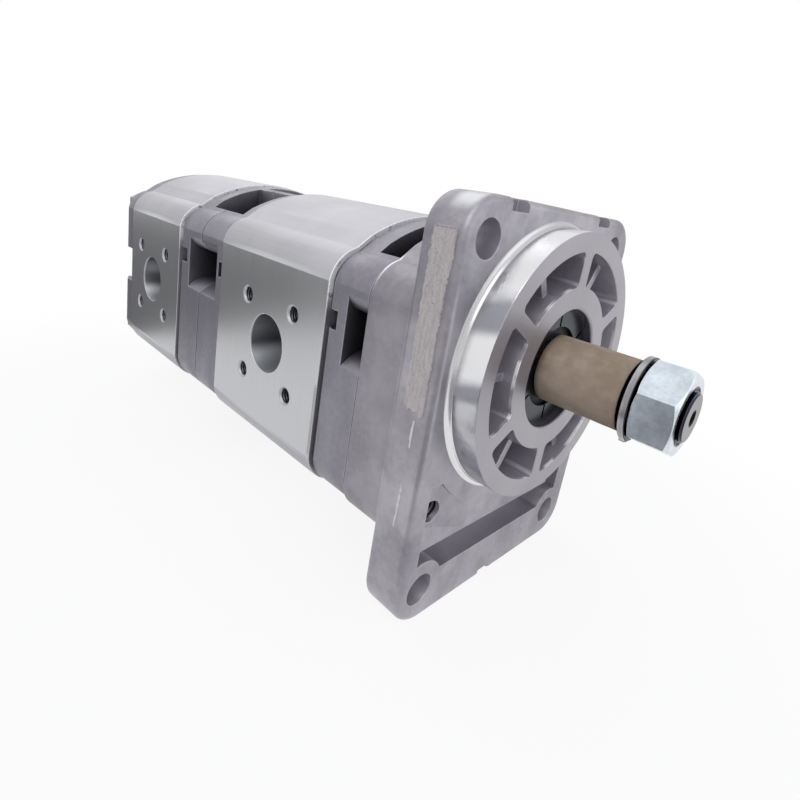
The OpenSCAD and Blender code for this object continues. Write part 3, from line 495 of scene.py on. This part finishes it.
def shaft_metal():
    """Ground steel, with painted shade in the countersunk lathe centre of its front end."""
    g = Graph("shaft_steel")
    marks = g.noise(1.0, 2, stretch=(40, 700, 40))
    stain = g.noise(90, 3)
    r = g.radius()
    g.color = g.mix(g.step(g.lerp(0.5, marks, stain), 0.35, 0.65), (0.29, 0.29, 0.31), (0.38, 0.38, 0.41))
    g.tint(g.edge(0.4), (0.55, 0.55, 0.58), 0.5)
    end = g.before(g.y, SHAFT_END + 0.4, 0.2)
    face = g.both(end, g.step(g.abs(g.ny), 0.9, 0.98))
    g.tint(face, (0.20, 0.205, 0.20))
    # painted shade in the lathe centre
    g.tint(g.both(end, g.before(r, CENTRE_R + 0.1, 0.1)), (0.008, 0.008, 0.01))
    # painted shade: the thread near black in its grooves
    thread = g.both(g.before(g.y, THREAD_START, 0.2), g.past(r, THREAD_R - 1, 0.2), g.flip(face))
    g.tint(thread, (0.024, 0.024, 0.05), 0.97)
    # painted shade in narrow gaps
    g.tint(g.crevice(1.6), (0.012, 0.012, 0.016), 0.6)
    g.rough = g.lerp(stain, 0.22, 0.35)
    g.relief = g.bump(marks, 0.12, 0.05)
    return finish(g, 1.0)


def rubber():
    """Black rubber of the seals, dull and fine-grained."""
    g = Graph("seal_rubber")
    fine = g.noise(900, 2)
    g.color = g.mix(fine, (0.004, 0.004, 0.006), (0.010, 0.010, 0.013))
    g.rough = g.lerp(fine, 0.42, 0.6)
    g.relief = g.bump(fine, 0.2, 0.1)
    g.set(Specular_IOR_Level=0.22)
    return finish(g, 0.0)


def kraft():
    """Grey-brown kraft tube with pulp fibres, handling stains and the butt line of its winding."""
    g = Graph("kraft_tube")
    pulp = g.noise(260, 4, rough=0.7)
    fibre = g.noise(1.0, 3, stretch=(420, 300, 420), rough=0.6)
    stain = g.noise(70, 3, rough=0.55)
    tone = g.lerp(0.6, g.lerp(0.5, pulp, fibre), stain)
    g.color = g.mix(g.step(tone, 0.34, 0.66), (0.345, 0.262, 0.20), (0.53, 0.425, 0.34))
    turn = g.math("DIVIDE", g.math("ARCTAN2", g.z, g.x), 2 * math.pi)
    wound = g.math("FRACT", g.math("ADD", turn, g.math("DIVIDE", g.y, WINDING * MM)))
    seam = g.math("MULTIPLY", g.band(wound, 0.497, 0.503, 0.004), 0.12)
    g.tint(seam, (0.10, 0.075, 0.05))
    # painted shade darkens its underside; the cut lip at the front is darker too
    g.tint(g.before(g.z, -2, 8), (0.18, 0.14, 0.107), 0.6)
    lip = g.both(g.step(g.abs(g.ny), 0.5, 0.9), g.before(g.y, -19, 1))
    g.tint(lip, (0.10, 0.085, 0.07), 0.6)
    g.rough = g.lerp(pulp, 0.82, 0.95)
    g.relief = g.bump(g.math("SUBTRACT", tone, seam), 0.5, 0.25)
    return finish(g, 0.0)


def scar_metal():
    """Torn aluminium where the casting gate was broken off: pale, dull and granular."""
    g = Graph("gate_scar")
    grain = g.noise(1300, 3, rough=0.7)
    streak = g.noise(1.0, 3, stretch=(420, 1000, 170), rough=0.65)
    tone = g.lerp(0.5, grain, streak)
    g.color = g.mix(g.step(tone, 0.36, 0.62), (0.425, 0.395, 0.40), (0.545, 0.515, 0.51))
    cracks = g.band(g.noise(1.0, 2, stretch=(60, 900, 70)), 0.49, 0.51, 0.012)
    g.tint(cracks, (0.14, 0.13, 0.13), 0.18)
    g.tint(g.before(g.z, SCAR_SPLIT - 0.5, 0.1), (0.66, 0.65, 0.66))
    g.rough = g.lerp(grain, 0.5, 0.75)
    g.relief = g.bump(tone, 0.4, 0.2)
    return finish(g, 0.55)


def soften(name, width, angle=28):
    """Rounds a CAD node's edges by a real radius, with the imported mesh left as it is."""
    o = nodes[name]
    weld = o.modifiers.new("weld", "WELD")
    weld.merge_threshold = 1e-6
    bevel = o.modifiers.new("edge_radius", "BEVEL")
    bevel.width = width * MM
    bevel.segments = 2
    bevel.limit_method = "ANGLE"
    bevel.angle_limit = math.radians(angle)
    bevel.use_clamp_overlap = True
    bevel.harden_normals = False


def piece(name, verts, faces, mat, body, smooth=True):
    """A mesh piece given in mm, with its normals set outward."""
    mesh = bpy.data.meshes.new(name)
    mesh.from_pydata([Vector(v) * MM for v in verts], [], faces)
    bm = bmesh.new()
    bm.from_mesh(mesh)
    bmesh.ops.recalc_face_normals(bm, faces=bm.faces)
    for f in bm.faces:
        f.smooth = smooth
    bm.to_mesh(mesh)
    bm.free()
    mesh.materials.append(mat)
    o = bpy.data.objects.new(name, mesh)
    bpy.context.scene.collection.objects.link(o)
    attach(o, body)
    return o


def sweep(loop, steps, closed):
    """Quads between the copies of a loop of points: loop(i) gives copy i.

    A closed sweep joins the last copy to the first, and an open one gets a cap at each end."""
    verts, faces = [], []
    rows = [loop(i) for i in range(steps)]
    n = len(rows[0])
    for row in rows:
        verts.extend(row)
    for i in range(steps if closed else steps - 1):
        a, b = i * n, ((i + 1) % steps) * n
        for k in range(n):
            m = (k + 1) % n
            faces.append((a + k, a + m, b + m, b + k))
    if not closed:
        faces.append(tuple(range(n)))
        faces.append(tuple(range((steps - 1) * n, steps * n)))
    return verts, faces


def revolve(profile, steps):
    """A ring round the shaft axis from a closed profile of (radius, y) points."""
    def loop(i):
        a = 2 * math.pi * i / steps
        return [(r * math.cos(a), y, r * math.sin(a)) for r, y in profile]

    return sweep(loop, steps, True)


def wobble(*at):
    """Smooth noise at a point, the same in each run."""
    return noise.noise(Vector(at))


def kraft_sleeve(mat):
    """Paper tube over the taper: slightly out of round, with worn ends and a lip where it was cut."""
    around, rows = 144, 26
    worn, lip = 0.22, 0.18

    def loop(i):
        a = 2 * math.pi * i / around
        c, s = math.cos(a), math.sin(a)
        front = SLEEVE_FRONT + 0.22 * wobble(2.1 * c, 2.1 * s, 4.0)
        back = SLEEVE_BACK - 0.10 - 0.10 * wobble(2.5 * c, 2.5 * s, 9.0)
        pts = []
        for k in range(rows + 1):
            y = front + (back - front) * k / rows
            r = SLEEVE_OUT - 0.06 + 0.06 * wobble(1.4 * c, 1.4 * s, y * 0.16)
            r += 0.02 * wobble(5 * c, 5 * s, y * 0.5)
            if k in (0, rows):
                r -= worn
            if k == 1:
                r += 0.04
                y = front + lip
            if k == rows - 1:
                y = back - lip
            pts.append((r * c, y, r * s))
        for k in range(rows, -1, -3):
            y = front + 0.05 + (back - front - 0.1) * k / rows
            pts.append((SLEEVE_IN * c, y, SLEEVE_IN * s))
        return pts

    v, f = sweep(loop, around, True)
    o = piece("kraft_sleeve", v, f, mat, "drive")
    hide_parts("cardboard_sleeve")


def spring_washer(mat):
    """Split spring washer: a flat bar wound into one open turn, its ends apart and slightly proud."""
    gap, steps = 7.0, 132
    half_t, soft, lift = 0.95, 0.22, 0.33
    flare = 40

    def loop(i):
        t = i / (steps - 1)
        a = math.radians(WASHER_SPLIT + gap / 2 + t * (360 - gap))
        y = WASHER_MID + lift * (1 - 2 * t)
        end = max(0.0, 1 - min(t, 1 - t) * flare)
        ri = WASHER_IN
        ro = WASHER_OUT + (0.35 if t < 0.5 else 0.1) * end
        prof = [(ri + soft, half_t), (ro - soft, half_t), (ro, half_t - soft), (ro, soft - half_t),
                (ro - soft, -half_t), (ri + soft, -half_t), (ri, soft - half_t), (ri, half_t - soft)]
        return [(r * math.cos(a), y + dy, r * math.sin(a)) for r, dy in prof]

    v, f = sweep(loop, steps, False)
    o = piece("helical_spring_washer", v, f, mat, "drive", smooth=False)
    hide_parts("spring_washer")


def thread_end(mat):
    """The last turns of the shaft's thread, standing out of the nut, with the countersunk lathe centre."""
    pitch, tip, bore = 0.45, -45.15, 1.2
    root = SHAFT_END + 0.1
    prof = [(THREAD_R - 0.15, root)]
    for k in range(3):
        prof.append((THREAD_R - 0.1, root - 0.22 - pitch * k))
        prof.append((THREAD_R - 0.5, root - 0.45 - pitch * k))
    prof += [(THREAD_R - 0.7, tip), (CENTRE_R, tip), (bore, NUT_FRONT), (bore, root)]
    v, f = revolve(prof, 96)
    piece("thread_end", v, f, mat, "drive", smooth=False)


def pilot_foot(mat):
    """Bright concave root where the turned pilot wall meets the plate."""
    prof = [(-0.5, 0.3), (-0.5, -1.4), (0.03, -1.4), (0.12, -0.95), (0.4, -0.55), (0.9, -0.25), (1.5, -0.04),
            (1.6, 0.3)]
    v, f = revolve([(PILOT_R + dr, y) for dr, y in prof], 192)
    piece("pilot_root", v, f, mat, "housing")


def scar_margin(y, z):
    """How far a point of the plate's side lies inside the torn strip, or inside the thin burr below it."""
    if z > SCAR_SPLIT:
        low = 2.7 - 0.5 * min(1, max(0, (z - 22) / 6)) + 0.3 * wobble(5.0, 2.0, z * 0.8)
        high = 9.65 + 0.5 * wobble(0.0, 7.0, z * 0.5) + 0.3 * wobble(3.0, 1.0, z * 1.7)
        foot = -11.2 + 0.9 * wobble(y * 0.7, 4.0, 1.0) + 0.25 * abs(y - 4)
        top = 35.8 + 0.25 * wobble(y * 1.1, 2.0, 6.0)
        return min(y - low, high - y, top - z, z - foot)
    mid = 5.6 + 0.35 * wobble(9.0, 0.0, z * 0.22) - 0.02 * (z + 30)
    segment = max(1.6 - abs(z + 16.5) * 0.32, 1.3 - abs(z + 38) * 0.17)
    wide = min(0.55, segment) * (0.75 + 0.6 * wobble(1.0, 8.0, z * 0.6))
    return wide - abs(y - mid)


def scar_height(y, z):
    """How far the torn metal stands off the plate's side. Outside the scar it is below the surface."""
    if scar_margin(y, z) <= 0:
        return -0.35 if z < SCAR_ROUND else -1.2
    rough = 0.07 * wobble(y * 2.2, z * 1.1, 3.0) + 0.05 * wobble(y * 5, z * 4, 8.0)
    return (0.34 if z > SCAR_SPLIT else 0.16) + rough


def gate_scar(mat):
    """Torn strip along the left side of the plate, with a thin broken burr running on below it."""
    y0, y1, ny = 1.9, 11.0, 40
    z0, z1, nz = -52.0, 37.0, 300
    sunk = 1.8
    verts, faces = [], []
    for j in range(nz + 1):
        z = z0 + (z1 - z0) * j / nz
        for i in range(ny + 1):
            y = y0 + (y1 - y0) * i / ny
            verts.append((PLATE_LEFT - scar_height(y, z), y, z))
    for j in range(nz):
        for i in range(ny):
            a = j * (ny + 1) + i
            faces.append((a, a + 1, a + ny + 2, a + ny + 1))
    # a skirt round the grid's rim and a flat back inside the plate close the mesh
    n = len(verts)
    ring = list(range(ny + 1)) + [j * (ny + 1) + ny for j in range(1, nz + 1)]
    ring += [nz * (ny + 1) + i for i in range(ny - 1, -1, -1)]
    ring += [j * (ny + 1) for j in range(nz - 1, 0, -1)]
    for k in ring:
        x, y, z = verts[k]
        verts.append((PLATE_LEFT + sunk, y, z))
    for k in range(len(ring)):
        m = (k + 1) % len(ring)
        faces.append((ring[k], ring[m], n + m, n + k))
    faces.append(tuple(n + k for k in range(len(ring))))
    piece("gate_scar", verts, faces, mat, "housing", smooth=False)


def thread(verts, faces, at, into, wall, crest, pitch, start, turns):
    """One helical rib on the wall of a hole. into points from the mouth into the metal."""
    per_turn, fade_in = 24, 10
    foot = 0.44
    axis = Vector(into).normalized()
    u = axis.orthogonal().normalized()
    w = axis.cross(u)
    steps = turns * per_turn
    base = len(verts)
    for i in range(steps + 1):
        t = i / per_turn
        a = 2 * math.pi * t
        ring = u * math.cos(a) + w * math.sin(a)
        fade = min(1.0, i / fade_in, (steps - i) / fade_in)
        tip = wall + (crest - wall) * fade
        for off, r in ((-foot, wall + 0.05), (0.0, tip), (foot, wall + 0.05)):
            p = Vector(at) + axis * (start + (t + off) * pitch) + ring * r
            verts.append(tuple(p))
    for i in range(steps):
        a = base + i * 3
        faces.append((a, a + 3, a + 4, a + 1))
        faces.append((a + 1, a + 4, a + 5, a + 2))


def tapped_holes(mat):
    """Thread ribs in the four tapped holes of each port and in the flange's side hole."""
    verts, faces = [], []
    for side, pcd in ((-1, SUCTION_PCD), (1, PRESSURE_PCD)):
        for y in (FRONT_PORT_Y, REAR_PORT_Y):
            for k in range(4):
                a = math.radians(PORT_TURN + 90 * k)
                at = (side * PORT_X, y + pcd / 2 * math.cos(a), PORT_Z + pcd / 2 * math.sin(a))
                thread(verts, faces, at, (-side, 0, 0), TAP_R, TAP_R - 0.42, 1.0, 0.9, 9)
    thread(verts, faces, SIDE_HOLE, (0, 1, 0), SIDE_HOLE_R, SIDE_HOLE_R - 0.5, 1.25, 0.8, 6)
    piece("tapped_threads", verts, faces, mat, "housing")


def dress():
    """Gives every CAD node its material, and returns the ones that the scene's own pieces share."""
    cast = flange_metal()
    cover = covers_metal()
    casing = casing_metal()
    steel = shaft_metal()
    zinc = nut_metal()
    dark = machined("dark_spring_steel", (0.066, 0.069, 0.078), 0.26)
    spring = washer_metal()
    bolt = machined("bolt_zinc", (0.42, 0.43, 0.46), 0.3)
    brass = machined("cage_brass", (0.62, 0.46, 0.2), 0.3)
    bronze = machined("bush_bronze", (0.5, 0.33, 0.2), 0.35)
    block = machined("block_aluminium", (0.30, 0.30, 0.32), 0.3)
    # thread ribs in the tapped holes, painted dark as the shade inside the holes
    lining = machined("tapped_thread", (0.13, 0.13, 0.14), 0.3)
    black = rubber()
    paper = kraft()
    looks = {
        "mounting_flange": cast, "front_cover": cover, "centre_cover_front": cover,
        "centre_cover_rear": cover, "end_cover": cover, "front_casing": casing, "rear_casing": casing,
        "cardboard_sleeve": paper, "shaft_nut": zinc, "spring_washer": spring, "seal_retainer": dark,
        "bearing_circlip": dark, "through_bolts": bolt, "bearing_cage": brass, "front_bushes": bronze,
        "rear_bushes": bronze,
    }
    for n, o in nodes.items():
        if n in looks:
            mat = looks[n]
        elif "seal" in n:
            mat = black
        elif "block" in n:
            mat = block
        else:
            mat = steel
        o.data.materials.clear()
        o.data.materials.append(mat)
    return {"paper": paper, "steel": steel, "spring": spring, "lining": lining}


def ray_mask(tree):
    """1 for rays that show the background: camera, glossy and transmission rays."""
    path = tree.nodes.new("ShaderNodeLightPath")
    last = path.outputs["Is Camera Ray"]
    for name in ("Is Glossy Ray", "Is Transmission Ray"):
        top = tree.nodes.new("ShaderNodeMath")
        top.operation = "MAXIMUM"
        tree.links.new(last, top.inputs[0])
        tree.links.new(path.outputs[name], top.inputs[1])
        last = top.outputs[0]
    return last


def background(tree, color, strength):
    """An even background of one colour."""
    n = tree.nodes.new("ShaderNodeBackground")
    n.inputs[0].default_value = (*color, 1)
    n.inputs[1].default_value = strength
    return n.outputs[0]


def studio():
    """The room: it lights the part softly, and is plain white to the camera and in reflections."""
    world = bpy.data.worlds.new("studio")
    bpy.context.scene.world = world
    world.use_nodes = True
    t = world.node_tree
    t.nodes.clear()
    out = t.nodes.new("ShaderNodeOutputWorld")
    mix = t.nodes.new("ShaderNodeMixShader")
    t.links.new(ray_mask(t), mix.inputs[0])
    t.links.new(background(t, (0.9, 0.92, 0.97), 0.55), mix.inputs[1])
    t.links.new(background(t, (1, 1, 1), 1.0), mix.inputs[2])
    t.links.new(mix.outputs[0], out.inputs[0])


def white_floor(low):
    """A floor that is white where the camera and the metal see it, with the shadow kept near the object."""
    half = 6
    corners = [(-half, -half, low), (half, -half, low), (half, half, low), (-half, half, low)]
    mesh = bpy.data.meshes.new("floor")
    mesh.from_pydata(corners, [], [(0, 1, 2, 3)])
    floor = bpy.data.objects.new("floor", mesh)
    bpy.context.scene.collection.objects.link(floor)
    g = Graph("floor_white")
    matte = g.node("ShaderNodeBsdfDiffuse", {0: (0.9, 0.9, 0.9, 1)})
    glow = g.node("ShaderNodeEmission", {0: (1, 1, 1, 1), 1: 1.0})
    far = g.length(g.x, g.math("SUBTRACT", g.y, 90 * MM))
    gain = g.math("MULTIPLY", ray_mask(g.tree), g.lerp(g.past(far, 205, 95), 0.88, 1.0))
    mix = g.node("ShaderNodeMixShader", {0: gain, 1: matte.outputs[0], 2: glow.outputs[0]})
    g.tree.links.new(mix.outputs[0], g.out.inputs[0])
    g.tree.nodes.remove(g.bsdf)
    mesh.materials.append(g.mat)


def card(name, x, y, low, width, height, level):
    """A dark studio card that only reflections see, as photographers use to give bare metal its contrast."""
    mesh = bpy.data.meshes.new(name)
    w, h = width / 2, height / 2
    mesh.from_pydata([(-w, -h, 0), (w, -h, 0), (w, h, 0), (-w, h, 0)], [], [(0, 1, 2, 3)])
    o = bpy.data.objects.new(name, mesh)
    bpy.context.scene.collection.objects.link(o)
    at = Vector((x, y, low + MM))
    o.location = at
    o.rotation_euler = (Vector((x, y, 1)) - at).to_track_quat("Z", "Y").to_euler()
    g = Graph(name)
    shade = g.node("ShaderNodeEmission", {0: (level, level, level * 1.05, 1), 1: 1.0})
    g.tree.links.new(shade.outputs[0], g.out.inputs[0])
    g.tree.nodes.remove(g.bsdf)
    mesh.materials.append(g.mat)
    o.visible_camera = False
    o.visible_diffuse = False
    o.visible_transmission = False
    o.visible_shadow = False


def stage():
    """Room, floor, dark cards and lamps. Sizes and places here are in metres."""
    bpy.context.scene.view_settings.view_transform = "Standard"
    low = cad_box[0].z
    studio()
    white_floor(low)
    card("flag_far", -0.62, 0.92, low, 1.15, 1.28, 0.13)
    card("flag_near", -0.20, -0.12, low, 0.24, 0.26, 0.3)
    lamp("key", (-0.7, -0.35, 0.85), (0, 0.05, 0), 3.9)
    lamp("fill", (0.5, -0.8, 0.3), (0, 0, 0), 1.2, (0.95, 0.96, 1))
    lamp("back", (0.2, 0.7, 0.8), (0, 0.1, 0), 1.8)


camera()
stage()
mats = dress()
for n in ("mounting_flange", "front_cover", "centre_cover_front", "centre_cover_rear", "end_cover"):
    soften(n, 0.5)
for n in ("front_casing", "rear_casing"):
    soften(n, 0.25, 40)
kraft_sleeve(mats["paper"])
spring_washer(mats["spring"])
thread_end(mats["steel"])
pilot_foot(foot_metal())
gate_scar(scar_metal())
tapped_holes(mats["lining"])
